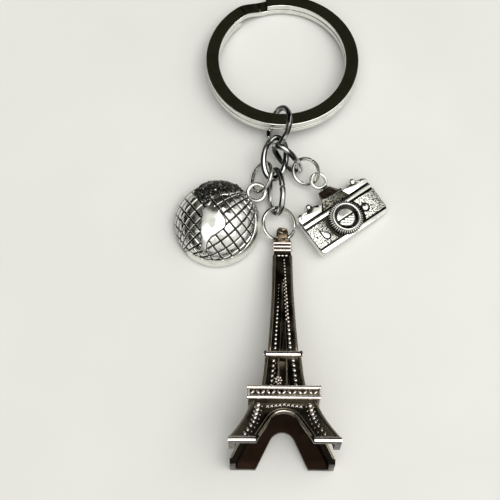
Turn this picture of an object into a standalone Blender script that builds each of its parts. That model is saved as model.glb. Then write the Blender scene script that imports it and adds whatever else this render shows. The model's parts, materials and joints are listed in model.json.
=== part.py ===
"""Souvenir keychain lying on a table.

A flat split key ring carries a chain of wire links. The chain branches at its second link to
three cast charms: a lattice tower, a half globe and a camera. Metres, +Z up, the table at Z = 0,
the key ring toward +Y and the tower toward -Y. The origin is on the table, under the middle.
"""
import math

import bmesh
import bpy
from mathutils import Matrix, Vector

MM = 0.001

# Where the middle of the key ring stands in the part's frame, in millimetres.
RING_CENTRE = Vector((0.64, 32.95, 0.0))

# Split key ring: flat wire wound twice. Millimetres and degrees.
RING_OUTER_RADIUS = 15.5
BAND_WIDTH = 2.65
COIL_THICKNESS = 1.38
COIL_GAP = 0.14
BAND_CHAMFER = 0.18
RING_TILT = 6.0
JOG_START = 106.0
JOG_END = 127.0
END_CLEARANCE = 3.0
WELD = 0.0001

# Wire sizes, as diameters.
LINK_WIRE = 1.2
JUMP_WIRE = 0.76
BUTT_GAP = 0.12
OPEN_GAP = 0.65

# Charms.
NECK_THICKNESS = 0.74
TOWER_LENGTH = 45.0
TOWER_BASE = 19.0
TOWER_WALL = 0.9
TOWER_PITCH = -10.15
TOWER_HOLE = Vector((-0.34, -37.11, 1.90))
TOWER_HEADING = -0.55
TIP_HALF = 1.1
FOOT_BAR = 0.9
GLOBE_RADIUS = 8.55
GLOBE_HEIGHT = 6.2
GLOBE_WALL = 1.0
GLOBE_EYE_REACH = 9.95
GLOBE_EYE_WIRE = 0.9
CAMERA_THICKNESS = 1.9
CAMERA_EYE_REACH = 9.26
CAMERA_EYE_WIRE = 0.74
LENS_GRIP_RADIUS = 3.6
LENS_BEZEL_RADIUS = 2.84
LENS_WELL_RADIUS = 2.42
GROOVE_HALF = 0.17
GROOVE_DEPTH = 0.3


class Loop:
    """An elliptical wire centre line: long axis by heading and pitch, then a roll about it.

    Heading turns from +Y toward +X. Angle 0 is the end of the long axis nearer the key ring.
    Positions are millimetres from the middle of the key ring, at table level.
    """

    def __init__(self, centre, half_length, half_width, heading, pitch, roll):
        yaw, tilt, turn = (math.radians(value) for value in (heading, pitch, roll))
        self.centre = Vector(centre)
        self.half_length = half_length
        self.half_width = half_width
        self.along = Vector((math.sin(yaw) * math.cos(tilt),
                             math.cos(yaw) * math.cos(tilt),
                             math.sin(tilt)))
        level = Vector((math.cos(yaw), -math.sin(yaw), 0.0))
        upward = level.cross(self.along)
        self.across = math.cos(turn) * level + math.sin(turn) * upward
        self.normal = self.across.cross(self.along)

    def point(self, degrees):
        angle = math.radians(degrees)
        return (self.centre + self.half_length * math.cos(angle) * self.along
                + self.half_width * math.sin(angle) * self.across)

    def speed(self, degrees):
        angle = math.radians(degrees)
        return (self.half_width * math.cos(angle) * self.across
                - self.half_length * math.sin(angle) * self.along)


# How each ring of wire lies, measured from the middle of the key ring at table level.
RING_LINK = Loop((-0.84, -14.77, 4.53), 4.05, 3.5, 2.75, -6.3, 54.8)
BRANCH_LINK = Loop((-1.68, -21.36, 4.40), 4.2, 2.35, 9.0, 5.4, -21.9)
TOWER_LINK = Loop((-1.50, -28.05, 3.32), 4.3, 2.3, -2.5, 12.4, 57.7)
TOWER_JUMP = Loop((-0.95, -34.28, 2.21), 3.25, 3.22, 0.0, 6.3, -16.5)
CAMERA_LINK = Loop((0.76, -21.57, 4.55), 3.95, 2.3, -53.7, 50.6, -97.7)
CAMERA_JUMP = Loop((4.45, -23.77, 3.24), 2.62, 2.62, -58.5, 2.2, 42.7)
GLOBE_JUMP = Loop((-4.29, -24.84, 3.03), 3.0, 3.0, 28.2, 25.4, 47.1)
CAMERA_EYE = Loop((6.88, -25.60, 2.92), 1.5, 1.5, -35.2, 4.5, -7.7)
GLOBE_EYE = Loop((-5.31, -27.84, 2.65), 1.7, 1.7, 51.5, 6.3, -1.5)


def clear_scene():
    for stale in list(bpy.data.objects):
        bpy.data.objects.remove(stale, do_unlink=True)


def metal(name, colour, roughness):
    material = bpy.data.materials.new(name)
    material.use_nodes = True
    shader = material.node_tree.nodes["Principled BSDF"]
    shader.inputs["Base Color"].default_value = (*colour, 1.0)
    shader.inputs["Metallic"].default_value = 1.0
    shader.inputs["Roughness"].default_value = roughness
    return material


def add_object(name, data, pivot, material):
    """Link an object whose data is in millimetres-to-metres scale already, measured from pivot."""
    data.materials.append(material)
    item = bpy.data.objects.new(name, data)
    item.location = (RING_CENTRE + pivot) * MM
    bpy.context.scene.collection.objects.link(item)
    return item


def finish_mesh(name, mesh_builder, pivot, material, smooth_angle=35.0):
    """Turn a bmesh in millimetres, placed from the ring's middle, into an object at its pivot."""
    bmesh.ops.translate(mesh_builder, verts=mesh_builder.verts, vec=-pivot)
    bmesh.ops.scale(mesh_builder, verts=mesh_builder.verts, vec=(MM, MM, MM))
    bmesh.ops.recalc_face_normals(mesh_builder, faces=mesh_builder.faces)
    mesh = bpy.data.meshes.new(name)
    mesh_builder.to_mesh(mesh)
    mesh_builder.free()
    mesh.shade_smooth()
    mesh.set_sharp_from_angle(angle=math.radians(smooth_angle))
    return add_object(name, mesh, pivot, material)


def wire_ring(name, loop, wire, gap_angle, gap, pivot, material, points=44):
    """A ring bent from round wire, with its two cut ends facing each other across a gap."""
    half_gap = math.degrees((gap / 2) / loop.speed(gap_angle).length)
    curve = bpy.data.curves.new(name, "CURVE")
    curve.dimensions = "3D"
    curve.bevel_depth = wire / 2 * MM
    curve.bevel_resolution = 2
    curve.use_fill_caps = True
    spline = curve.splines.new("POLY")
    spline.points.add(points - 1)
    for index, spot in enumerate(spline.points):
        angle = gap_angle + half_gap + (360 - 2 * half_gap) * index / (points - 1)
        spot.co = (*((loop.point(angle) - pivot) * MM), 1.0)
    return add_object(name, curve, pivot, material)


def skin(mesh_builder, rings, closed_ends=True):
    """Join rings of vertices, each ring a list of points, into a tube with flat ends."""
    layers = [[mesh_builder.verts.new(point) for point in ring] for ring in rings]
    count = len(layers[0])
    for lower, upper in zip(layers, layers[1:]):
        for index in range(count):
            following = (index + 1) % count
            mesh_builder.faces.new((lower[index], lower[following],
                                    upper[following], upper[index]))
    if closed_ends:
        mesh_builder.faces.new(reversed(layers[0]))
        mesh_builder.faces.new(layers[-1])


def smooth_step(value):
    value = min(max(value, 0.0), 1.0)
    return value * value * (3 - 2 * value)


def key_ring(material):
    """Flat wire wound twice, stepping from the lower coil to the upper one at the far side."""
    builder = bmesh.new()
    half_width = BAND_WIDTH / 2
    half_coil = COIL_THICKNESS / 2
    corners = [(-half_width, -half_coil + BAND_CHAMFER), (-half_width + BAND_CHAMFER, -half_coil),
               (half_width - BAND_CHAMFER, -half_coil), (half_width, -half_coil + BAND_CHAMFER),
               (half_width, half_coil - BAND_CHAMFER), (half_width - BAND_CHAMFER, half_coil),
               (-half_width + BAND_CHAMFER, half_coil), (-half_width, half_coil - BAND_CHAMFER)]
    middle_radius = RING_OUTER_RADIUS - half_width
    first = JOG_END + END_CLEARANCE
    last = 720 + JOG_START - END_CLEARANCE
    stations = 150
    rings = []
    for station in range(stations):
        degrees = first + (last - first) * station / (stations - 1)
        climb = smooth_step((degrees - 360 - JOG_START) / (JOG_END - JOG_START))
        height = half_coil + climb * (COIL_THICKNESS + COIL_GAP)
        angle = math.radians(degrees)
        rings.append([((middle_radius + out) * math.cos(angle),
                       (middle_radius + out) * math.sin(angle),
                       height + up) for out, up in corners])
    skin(builder, rings)
    tilt = Matrix.Rotation(math.radians(-RING_TILT), 4, "X")
    lift = RING_OUTER_RADIUS * math.sin(math.radians(RING_TILT))
    bmesh.ops.transform(builder, matrix=Matrix.Translation((0, 0, lift)) @ tilt,
                        verts=builder.verts)
    return finish_mesh("key_ring", builder, Vector((0, 0, lift)), material)


def oriented(origin, x_axis, y_axis, z_axis):
    """The matrix that carries a charm's own axes to the assembly."""
    turn = Matrix((x_axis, y_axis, z_axis)).transposed().to_4x4()
    return Matrix.Translation(origin) @ turn


def boolean(target, tool, operation):
    modifier = target.modifiers.new(operation.lower(), "BOOLEAN")
    modifier.operation = operation
    modifier.object = tool
    modifier.solver = "EXACT"


def helper(name, builder, frame):
    """A guide shape that a Boolean reads; it stays out of the finished object."""
    bmesh.ops.recalc_face_normals(builder, faces=builder.faces)
    bmesh.ops.transform(builder, matrix=frame, verts=builder.verts)
    bmesh.ops.translate(builder, verts=builder.verts, vec=RING_CENTRE)
    bmesh.ops.scale(builder, verts=builder.verts, vec=(MM, MM, MM))
    mesh = bpy.data.meshes.new(name)
    builder.to_mesh(mesh)
    builder.free()
    item = bpy.data.objects.new(name, mesh)
    bpy.context.scene.collection.objects.link(item)
    item.hide_render = True
    item.display_type = "WIRE"
    return item


def prism(outline, low, high, axis):
    """An outline in two coordinates, extruded from low to high along the third."""
    places = {"X": lambda a, b, c: (c, a, b), "Y": lambda a, b, c: (a, c, b),
              "Z": lambda a, b, c: (a, b, c)}
    place = places[axis]
    builder = bmesh.new()
    skin(builder, [[place(a, b, low) for a, b in outline], [place(a, b, high) for a, b in outline]])
    return builder


def ring_outline(radius, centre=(0.0, 0.0), points=28, start=0.0, stop=360.0):
    """Points of a circle, or of the arc from start to stop when they don't make a full turn."""
    full = abs(stop - start) >= 360
    steps = points if full else points - 1
    return [(centre[0] + radius * math.cos(math.radians(start + (stop - start) * index / steps)),
             centre[1] + radius * math.sin(math.radians(start + (stop - start) * index / steps)))
            for index in range(points)]


def square_loft(levels):
    """Square sections stacked along Z: each level is a distance from the tip and a half width."""
    builder = bmesh.new()
    skin(builder, [[(-half, -half, -depth), (half, -half, -depth),
                    (half, half, -depth), (-half, half, -depth)] for depth, half in levels])
    return builder


def flare(depth, top_depth, top_half, foot_half, power):
    """Half width of the tower below a level: it widens ever faster toward the feet."""
    share = (depth - top_depth) / (TOWER_LENGTH - top_depth)
    return top_half + (foot_half - top_half) * share ** power


def tower(material):
    """Hollow cast tower on four splayed legs, with two galleries, three bands and a drilled tip."""
    hole_depth = 1.8
    hole_radius = 1.12
    tip_radius = 1.86
    foot_half = TOWER_BASE / 2
    foot_top = TOWER_LENGTH - FOOT_BAR
    gallery_bottom = 36.5
    leg_top_half = 5.6
    leg_steps = 7
    legs = []
    for step in range(leg_steps + 1):
        depth = gallery_bottom + (foot_top - gallery_bottom) * step / leg_steps
        legs.append((depth, flare(depth, gallery_bottom, leg_top_half, foot_half - 0.25, 1.35)))
    bands = []
    for band in range(3):
        top = 3.5 + 0.75 * band
        bands += [(top, 1.85), (top + 0.42, 1.85), (top + 0.42, 1.68), (top + 0.75, 1.68)]
    levels = [(3.1, 1.4), (3.5, 1.6)] + bands
    levels += [(8.0, 1.75), (14.0, 1.88), (20.0, 2.2), (26.4, 2.65), (26.4, 3.5), (27.55, 3.5)]
    levels += [(27.55, 3.12), (31.0, 3.45), (34.0, 3.9), (34.0, 6.45), (34.7, 6.45), (34.7, 6.15)]
    levels += [(35.8, 6.15), (35.8, 6.45), (gallery_bottom, 6.45)]
    levels += legs
    levels += [(foot_top, foot_half), (TOWER_LENGTH, foot_half)]
    pivot = TOWER_HOLE
    lie_down = Matrix.Rotation(math.radians(TOWER_PITCH - 90), 4, "X")
    turn = Matrix.Rotation(math.radians(TOWER_HEADING), 4, "Z")
    frame = Matrix.Translation(pivot) @ turn @ lie_down @ Matrix.Translation((0, 0, hole_depth))
    builder = square_loft(levels)
    bmesh.ops.transform(builder, matrix=frame, verts=builder.verts)
    body = finish_mesh("tower_charm", builder, pivot, material)

    inner = [(gallery_bottom - 6.5, 1.6), (gallery_bottom - 0.2, 3.6)]
    inner += [(depth, half - TOWER_WALL) for depth, half in legs[1:]]
    inner += [(TOWER_LENGTH + 1.0, foot_half - TOWER_WALL)]
    boolean(body, helper("tower_hollow", square_loft(inner), frame), "DIFFERENCE")

    arch_radius = 2.53
    arch_centre = -41.43
    arch_lean = 29.0
    arch_foot = 5.4
    below = -(TOWER_LENGTH + 1.0)
    crown = ring_outline(arch_radius, (0.0, arch_centre), 13, arch_lean, 180.0 - arch_lean)
    arch = [(arch_foot, below)] + crown + [(-arch_foot, below)]
    reach = foot_half + 3
    boolean(body, helper("arch_through", prism(arch, -reach, reach, "Y"), frame), "DIFFERENCE")
    side = frame @ Matrix.Rotation(math.radians(90), 4, "Z")
    boolean(body, helper("arch_across", prism(arch, -reach, reach, "Y"), side), "DIFFERENCE")

    tab = ring_outline(tip_radius, (0.0, -hole_depth), 13, 0.0, 180.0) + [(-1.5, -4.2), (1.5, -4.2)]
    boolean(body, helper("tip_tab", prism(tab, -TIP_HALF, TIP_HALF, "X"), frame), "UNION")
    hole = ring_outline(hole_radius, (0.0, -hole_depth), 20)
    boolean(body, helper("tip_hole", prism(hole, -3.0, 3.0, "X"), frame), "DIFFERENCE")

    slot_depth = 0.3
    slots = (("shaft_slot", 7.5, 25.2, 0.5, 0.9, 1.74, 2.57),
             ("neck_slot", 28.6, 33.2, 1.0, 1.4, 3.22, 3.8))
    for name, top, bottom, near, wide, top_half, bottom_half in slots:
        lean = math.atan2(bottom_half - top_half, bottom - top)
        outline = [(-near, 0.0), (near, 0.0), (wide, top - bottom), (-wide, top - bottom)]
        stand = Matrix.Translation((0, top_half - slot_depth, -top)) @ Matrix.Rotation(lean, 4, "X")
        for turn in range(4):
            spin = Matrix.Rotation(math.radians(90 * turn), 4, "Z")
            tool = helper(f"{name}_{turn}", prism(outline, 0.0, 1.5, "Y"), frame @ spin @ stand)
            boolean(body, tool, "DIFFERENCE")
    return body


def half_dome(radius, height, segments, levels):
    """Rings of an ellipsoid from its rim to just below its top."""
    rings = []
    for level in range(levels):
        rise = math.radians(86) * level / (levels - 1)
        rings.append([(radius * math.cos(rise) * math.cos(2 * math.pi * step / segments),
                       radius * math.cos(rise) * math.sin(2 * math.pi * step / segments),
                       height * math.sin(rise)) for step in range(segments)])
    return rings


def round_eye(name, radius, wire, centre, middle, root_y, frame):
    """Guide shapes for an eye: a round-wire ring, and a flat neck from it down to root_y."""
    builder = bmesh.new()
    sides = 8
    steps = 28
    sections = []
    for step in range(steps):
        turn = 2 * math.pi * step / steps
        section = []
        for side in range(sides):
            angle = 2 * math.pi * (side + 0.5) / sides
            reach = radius + wire / 2 * math.cos(angle)
            section.append((centre[0] + reach * math.cos(turn), centre[1] + reach * math.sin(turn),
                            middle + wire / 2 * math.sin(angle)))
        sections.append(section)
    skin(builder, sections + sections[:1], closed_ends=False)
    bmesh.ops.remove_doubles(builder, verts=builder.verts, dist=WELD)
    half = wire * 1.1
    shoulder = centre[1] - radius
    outline = [(centre[0] - half, root_y), (centre[0] + half, root_y),
               (centre[0] + half * 0.8, shoulder), (centre[0] - half * 0.8, shoulder)]
    neck = prism(outline, middle - NECK_THICKNESS / 2, middle + NECK_THICKNESS / 2, "Z")
    return helper(f"{name}_eye", builder, frame), helper(f"{name}_neck", neck, frame)


def globe(material):
    """A thin cast half globe, hollow behind, with an eye at its pole."""
    frame = oriented(GLOBE_EYE.centre, GLOBE_EYE.across, GLOBE_EYE.along, GLOBE_EYE.normal)
    frame = frame @ Matrix.Translation((0, -GLOBE_EYE_REACH, -GLOBE_EYE_WIRE / 2))
    outer = half_dome(GLOBE_RADIUS, GLOBE_HEIGHT, 44, 9)
    inner = half_dome(GLOBE_RADIUS - GLOBE_WALL, GLOBE_HEIGHT - GLOBE_WALL, 44, 7)
    builder = bmesh.new()
    skin(builder, list(reversed(inner)) + outer)
    bmesh.ops.transform(builder, matrix=frame, verts=builder.verts)
    body = finish_mesh("globe_charm", builder, GLOBE_EYE.centre, material)
    eye = (0.0, GLOBE_EYE_REACH)
    for tool in round_eye("globe", GLOBE_EYE.half_length, GLOBE_EYE_WIRE, eye, GLOBE_EYE_WIRE / 2,
                          GLOBE_RADIUS - 0.7, frame):
        boolean(body, tool, "UNION")
    return body


def camera(material):
    """A flat cast camera: body, top plate with a prism hump, a lens barrel and an eye on top."""
    eye = (0.47, CAMERA_EYE_REACH)
    frame = oriented(CAMERA_EYE.centre, CAMERA_EYE.across, CAMERA_EYE.along, CAMERA_EYE.normal)
    frame = frame @ Matrix.Translation((-eye[0], -eye[1], -CAMERA_THICKNESS / 2))
    outline = [(-7.5, -3.62), (7.6, -3.62), (8.3, -3.25), (8.6, -2.6), (8.6, 3.9), (8.4, 4.5),
               (7.8, 4.85), (6.5, 5.0), (6.35, 5.7), (5.85, 6.0), (5.35, 5.7), (5.15, 5.1), (2.9, 4.9),
               (2.65, 5.2), (1.5, 7.1), (-1.2, 7.0), (-1.55, 5.3), (-2.3, 4.8), (-4.1, 5.4),
               (-4.5, 6.3), (-5.2, 6.2), (-5.5, 5.4), (-6.2, 5.0), (-7.4, 5.4), (-8.0, 5.1),
               (-8.1, 4.4), (-8.1, -3.0), (-7.9, -3.45)]
    builder = prism(outline, 0.0, CAMERA_THICKNESS, "Z")
    bmesh.ops.transform(builder, matrix=frame, verts=builder.verts)
    body = finish_mesh("camera_charm", builder, CAMERA_EYE.centre, material)
    rim = ring_outline(LENS_GRIP_RADIUS, points=36)
    top = CAMERA_THICKNESS
    boolean(body, helper("lens_grip", prism(rim, 0.3, top + 0.7, "Z"), frame), "UNION")
    bezel = ring_outline(LENS_BEZEL_RADIUS, points=36)
    boolean(body, helper("lens_bezel", prism(bezel, 0.3, top + 1.2, "Z"), frame), "UNION")
    well = ring_outline(LENS_WELL_RADIUS, points=36)
    boolean(body, helper("lens_well", prism(well, top + 0.5, 9.0, "Z"), frame), "DIFFERENCE")
    for tool in round_eye("camera", CAMERA_EYE.half_length, CAMERA_EYE_WIRE, eye, CAMERA_THICKNESS / 2,
                          6.0, frame):
        boolean(body, tool, "UNION")
    grooves = (("plate_groove", 3.34, -9.0, 9.0), ("left_band_groove", 2.17, -9.0, -3.8),
               ("right_band_groove", 2.17, 3.8, 9.0), ("left_foot_groove", -2.63, -9.0, -2.6),
               ("right_foot_groove", -2.63, 2.6, 9.0))
    for name, height, start, end in grooves:
        low = height - GROOVE_HALF
        high = height + GROOVE_HALF
        outline = [(start, low), (end, low), (end, high), (start, high)]
        tool = helper(name, prism(outline, top - GROOVE_DEPTH, top + 0.2, "Z"), frame)
        boolean(body, tool, "DIFFERENCE")
    return body


def build():
    clear_scene()
    chrome = metal("chrome", (0.62, 0.62, 0.60), 0.12)
    link_steel = metal("link_steel", (0.42, 0.43, 0.44), 0.18)
    silver_wire = metal("silver_wire", (0.70, 0.70, 0.68), 0.15)
    antique_silver = metal("antique_silver", (0.55, 0.55, 0.52), 0.32)
    gunmetal = metal("gunmetal", (0.16, 0.14, 0.13), 0.30)

    key_ring(chrome)
    band_middle = Vector((0, 0, RING_OUTER_RADIUS * math.sin(math.radians(RING_TILT))))
    wire_ring("ring_link", RING_LINK, LINK_WIRE, 250, BUTT_GAP, band_middle, link_steel)
    wire_ring("branch_link", BRANCH_LINK, LINK_WIRE, 300, BUTT_GAP, RING_LINK.point(180), link_steel)
    wire_ring("tower_link", TOWER_LINK, LINK_WIRE, 80, BUTT_GAP, BRANCH_LINK.point(180), link_steel)
    wire_ring("tower_jump_ring", TOWER_JUMP, JUMP_WIRE, 105, OPEN_GAP, TOWER_LINK.point(180), silver_wire)
    tower(gunmetal)
    wire_ring("camera_link", CAMERA_LINK, LINK_WIRE, 270, BUTT_GAP, BRANCH_LINK.point(60), link_steel)
    wire_ring("camera_jump_ring", CAMERA_JUMP, JUMP_WIRE, 90, BUTT_GAP, CAMERA_LINK.point(180), silver_wire)
    camera(antique_silver)
    wire_ring("globe_jump_ring", GLOBE_JUMP, JUMP_WIRE, 270, BUTT_GAP, BRANCH_LINK.point(230), silver_wire)
    globe(antique_silver)


build()
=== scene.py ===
import json
import random
from math import asin, atan2, cos, degrees, hypot, pi, radians, sin, sqrt, tan

import bmesh
import bpy
from mathutils import Matrix, Vector, noise


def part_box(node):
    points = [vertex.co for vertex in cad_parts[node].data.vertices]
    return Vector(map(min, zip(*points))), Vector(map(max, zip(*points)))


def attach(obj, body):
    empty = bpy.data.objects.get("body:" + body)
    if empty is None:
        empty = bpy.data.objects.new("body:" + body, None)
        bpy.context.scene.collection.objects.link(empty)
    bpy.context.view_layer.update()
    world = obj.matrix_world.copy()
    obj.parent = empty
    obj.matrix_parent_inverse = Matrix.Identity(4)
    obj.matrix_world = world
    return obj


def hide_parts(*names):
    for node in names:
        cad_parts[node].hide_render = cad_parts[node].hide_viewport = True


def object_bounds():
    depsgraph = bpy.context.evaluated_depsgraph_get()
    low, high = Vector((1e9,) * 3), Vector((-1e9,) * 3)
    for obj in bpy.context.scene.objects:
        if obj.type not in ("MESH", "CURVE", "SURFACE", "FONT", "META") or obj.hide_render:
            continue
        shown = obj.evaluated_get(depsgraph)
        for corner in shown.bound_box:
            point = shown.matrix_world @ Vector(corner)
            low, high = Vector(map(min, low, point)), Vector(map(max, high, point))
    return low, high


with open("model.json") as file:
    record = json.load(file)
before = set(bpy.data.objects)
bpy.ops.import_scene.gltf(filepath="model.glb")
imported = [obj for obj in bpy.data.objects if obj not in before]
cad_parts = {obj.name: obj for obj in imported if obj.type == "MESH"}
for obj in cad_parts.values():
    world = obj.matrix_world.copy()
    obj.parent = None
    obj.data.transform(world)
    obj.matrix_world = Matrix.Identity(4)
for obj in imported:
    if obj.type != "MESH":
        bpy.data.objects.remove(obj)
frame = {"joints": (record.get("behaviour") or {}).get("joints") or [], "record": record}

CAD_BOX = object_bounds()
MM = 0.001
UP = Vector((0, 0, 1))
FACE_OUT = Vector((0, 1, 0))

# How the camera of the scene looks at the object.
LENS = 72.0
SENSOR = 36.0
LOOK_DOWN = 73.42
EYE_FROM_RING = Vector((-6.58, -94.88, 187.86)) * MM

# Key ring: bearings round it in degrees, on through the second coil.
RING_RADIUS = 15.5
BAND = 2.65
COIL = 1.38
COIL_GAP = 0.14
RING_TILT = 6.0
WIRE_START = 130.0
WIRE_END = 823.0
JOG_START = 466.0
JOG_TURN = 21.0

# Wires, as diameters. They are drawn a little thinner than in the frame, to stay clear when they turn.
LINK_WIRE = 1.2
JUMP_WIRE = 0.76
WIRE_SHARE = 0.965
BUTT_GAP = 0.12
OPEN_GAP = 0.65

# Tower, measured from its tip, and the arch between its legs.
TOWER_LENGTH = 45.0
FOOT_HALF = 9.5
LEG_TOP_HALF = 5.6
LEG_INSET = 0.25
LEG_POWER = 1.35
TOWER_WALL = 0.9
SHAFT_BOTTOM = 26.4
NECK_TOP = 27.5
GALLERY_TOP = 34.0
GALLERY_BOTTOM = 36.5
LEG_HEIGHT = 7.6
GALLERY_HALF = 6.2
HOLE_DEPTH = 1.8
HOLE_RADIUS = 1.12
TIP_RADIUS = 1.86
TOWER_PITCH = -10.15
TOWER_HEADING = -0.55
ARCH_RADIUS = 2.53
ARCH_CENTRE = -41.43
ARCH_LEAN = 29.0
ARCH_FOOT = 5.4

# Globe.
GLOBE_RADIUS = 8.55
GLOBE_HEIGHT = 6.2
GLOBE_WALL = 1.0
GLOBE_REACH = 9.95
GLOBE_HEADING = 51.5
GRID_LATITUDE = 12.5
GRID_LONGITUDE = 13.5

# Camera charm, measured from the lens axis and from its flat back.
PLATE = 1.9
CAMERA_EYE = (0.47, 9.26)
GRIP_TEETH = 44
DISC_RADIUS = 1.86

# Noise cells in a metre of surface: patches of uneven plating, and fine scratches.
SPOT_SCALE = 420.0
SCRATCH_SCALE = 2600.0

# Studio: lamps in watts.
KEY_POWER = 1.75
FILL_POWER = 0.25
ROOM_STRENGTH = 0.95


# ---------------- shaders

class Nodes:
    """Adds and joins shader nodes of one tree."""

    def __init__(self, tree):
        self.tree = tree

    def add(self, kind, inputs=None, **settings):
        node = self.tree.nodes.new(kind)
        for name, value in settings.items():
            setattr(node, name, value)
        for name, value in (inputs or {}).items():
            node.inputs[name].default_value = value
        return node

    def join(self, source, target):
        self.tree.links.new(source, target)


def principled(name):
    """A new material, its node helper and its shader."""
    material = bpy.data.materials.new(name)
    material.use_nodes = True
    return material, Nodes(material.node_tree), material.node_tree.nodes["Principled BSDF"]


def noise_at(nodes, scale, detail, place=None):
    """A noise texture in the object's own coordinates, and the coordinates' node."""
    place = place or nodes.add("ShaderNodeTexCoord")
    texture = nodes.add("ShaderNodeTexNoise", {"Scale": scale, "Detail": detail})
    nodes.join(place.outputs["Object"], texture.inputs["Vector"])
    return texture, place


def two_colours(nodes, source, low_at, low, high_at, high):
    """A ramp between two colours, driven by a noise texture."""
    node = nodes.add("ShaderNodeValToRGB")
    for element, place, colour in zip(node.color_ramp.elements, (low_at, high_at), (low, high)):
        element.position = place
        element.color = (*colour, 1.0)
    nodes.join(source.outputs["Fac"], node.inputs["Fac"])
    return node


def add_bump(nodes, source, strength, distance, shader):
    bump = nodes.add("ShaderNodeBump", {"Strength": strength, "Distance": distance})
    nodes.join(source.outputs["Fac"], bump.inputs["Height"])
    nodes.join(bump.outputs["Normal"], shader.inputs["Normal"])


def metal(name, high, low, rough, scratch=0.25, worn=True):
    """Plated metal: patina where the surface is low or dirty, uneven gloss and fine scratches; on the key
    ring and the wires the same dark colour is painted shade and painted reflection streaks.
    """
    material, nodes, shader = principled(name)
    shader.inputs["Metallic"].default_value = 1.0
    spots, place = noise_at(nodes, SPOT_SCALE, 5.0)
    ramp = two_colours(nodes, spots, 0.30, [value * 0.80 for value in high], 0.52, high)
    colour = ramp.outputs["Color"]
    if worn:
        relief = nodes.add("ShaderNodeAttribute", attribute_name="relief")
        mix = nodes.add("ShaderNodeMix", {6: (*low, 1.0)}, data_type="RGBA")
        nodes.join(relief.outputs["Fac"], mix.inputs[0])
        nodes.join(colour, mix.inputs[7])
        colour = mix.outputs[2]
    nodes.join(colour, shader.inputs["Base Color"])
    gloss = nodes.add("ShaderNodeMapRange", {"From Min": 0.35, "From Max": 0.70,
                                             "To Min": rough * 0.7, "To Max": rough * 1.6})
    nodes.join(spots.outputs["Fac"], gloss.inputs["Value"])
    nodes.join(gloss.outputs["Result"], shader.inputs["Roughness"])
    fine, place = noise_at(nodes, SCRATCH_SCALE, 3.0, place)
    add_bump(nodes, fine, scratch, 0.03 * MM, shader)
    return material


def stippled(name, bright, dark, size):
    """Cast stipple: bright islands between black pits, both in colour and in bump."""
    material, nodes, shader = principled(name)
    shader.inputs["Metallic"].default_value = 1.0
    shader.inputs["Roughness"].default_value = 0.26
    pits, place = noise_at(nodes, 1.0 / (size * MM), 2.0)
    ramp = two_colours(nodes, pits, 0.46, dark, 0.51, bright)
    nodes.join(ramp.outputs["Color"], shader.inputs["Base Color"])
    add_bump(nodes, pits, 0.8, 0.10 * MM, shader)
    return material


DARK = (0.012, 0.011, 0.008)
# On the key ring, the links and the jump rings the dark second colour is painted: shade under the ring's
# coils and dark reflection streaks along the wires.
CHROME = metal("ring_chrome", (0.78, 0.78, 0.74), DARK, 0.05, 0.05)
LINK = metal("link_dark_chrome", (0.66, 0.67, 0.67), (0.035, 0.035, 0.033), 0.08, 0.12)
WIRE = metal("silver_wire", (0.84, 0.83, 0.78), (0.07, 0.07, 0.06), 0.10, 0.12)
SILVER = metal("antique_silver", (0.84, 0.84, 0.80), DARK, 0.15, 0.30)
LEATHERETTE = stippled("camera_leatherette", (0.66, 0.66, 0.62), (0.02, 0.018, 0.014), 0.22)
MOTTLED = stippled("camera_hump_mottled", (0.17, 0.165, 0.14), (0.012, 0.011, 0.008), 0.34)
GUN = metal("gunmetal", (0.088, 0.078, 0.056), (0.010, 0.009, 0.006), 0.22, 0.35)
EDGE = metal("gunmetal_edges", (0.34, 0.295, 0.225), (0.03, 0.026, 0.018), 0.24, 0.35)
# Near-black brown for the faces inside the tower's hollow: painted shade.
HOLLOW_SHADE = metal("painted_hollow_shade", (0.016, 0.009, 0.006), DARK, 0.42, 0.6, worn=False)
BRIGHT = metal("worn_bright", (0.86, 0.79, 0.75), (0.16, 0.13, 0.11), 0.16, 0.3)
GOLD = metal("worn_gold", (0.55, 0.44, 0.31), (0.045, 0.032, 0.018), 0.26, 0.4)
# Dark brown for the camera hump's back slope: a painted dark reflection.
SLOPE_DARK_REFLECTION = metal("painted_dark_reflection", (0.10, 0.072, 0.052), DARK, 0.28, 0.5, worn=False)


# ---------------- mesh helpers

def turns(count):
    """Equal steps round a full turn, as angles."""
    return [2 * pi * step / count for step in range(count)]


def add_object(name, data):
    item = bpy.data.objects.new(name, data)
    bpy.context.scene.collection.objects.link(item)
    return item


def mesh_object(name, verts, faces, material, relief):
    """Verts in millimetres; relief is 0 in a recess and 1 on a high spot, per vertex, and low too where
    painted shade or painted reflection streaks darken the key ring and the wires.
    """
    mesh = bpy.data.meshes.new(name)
    mesh.from_pydata([Vector(vert) * MM for vert in verts], [], faces)
    mesh.attributes.new("relief", "FLOAT", "POINT").data.foreach_set("value", relief)
    mesh.materials.append(material)
    mesh.shade_smooth()
    return add_object(name, mesh)


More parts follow.
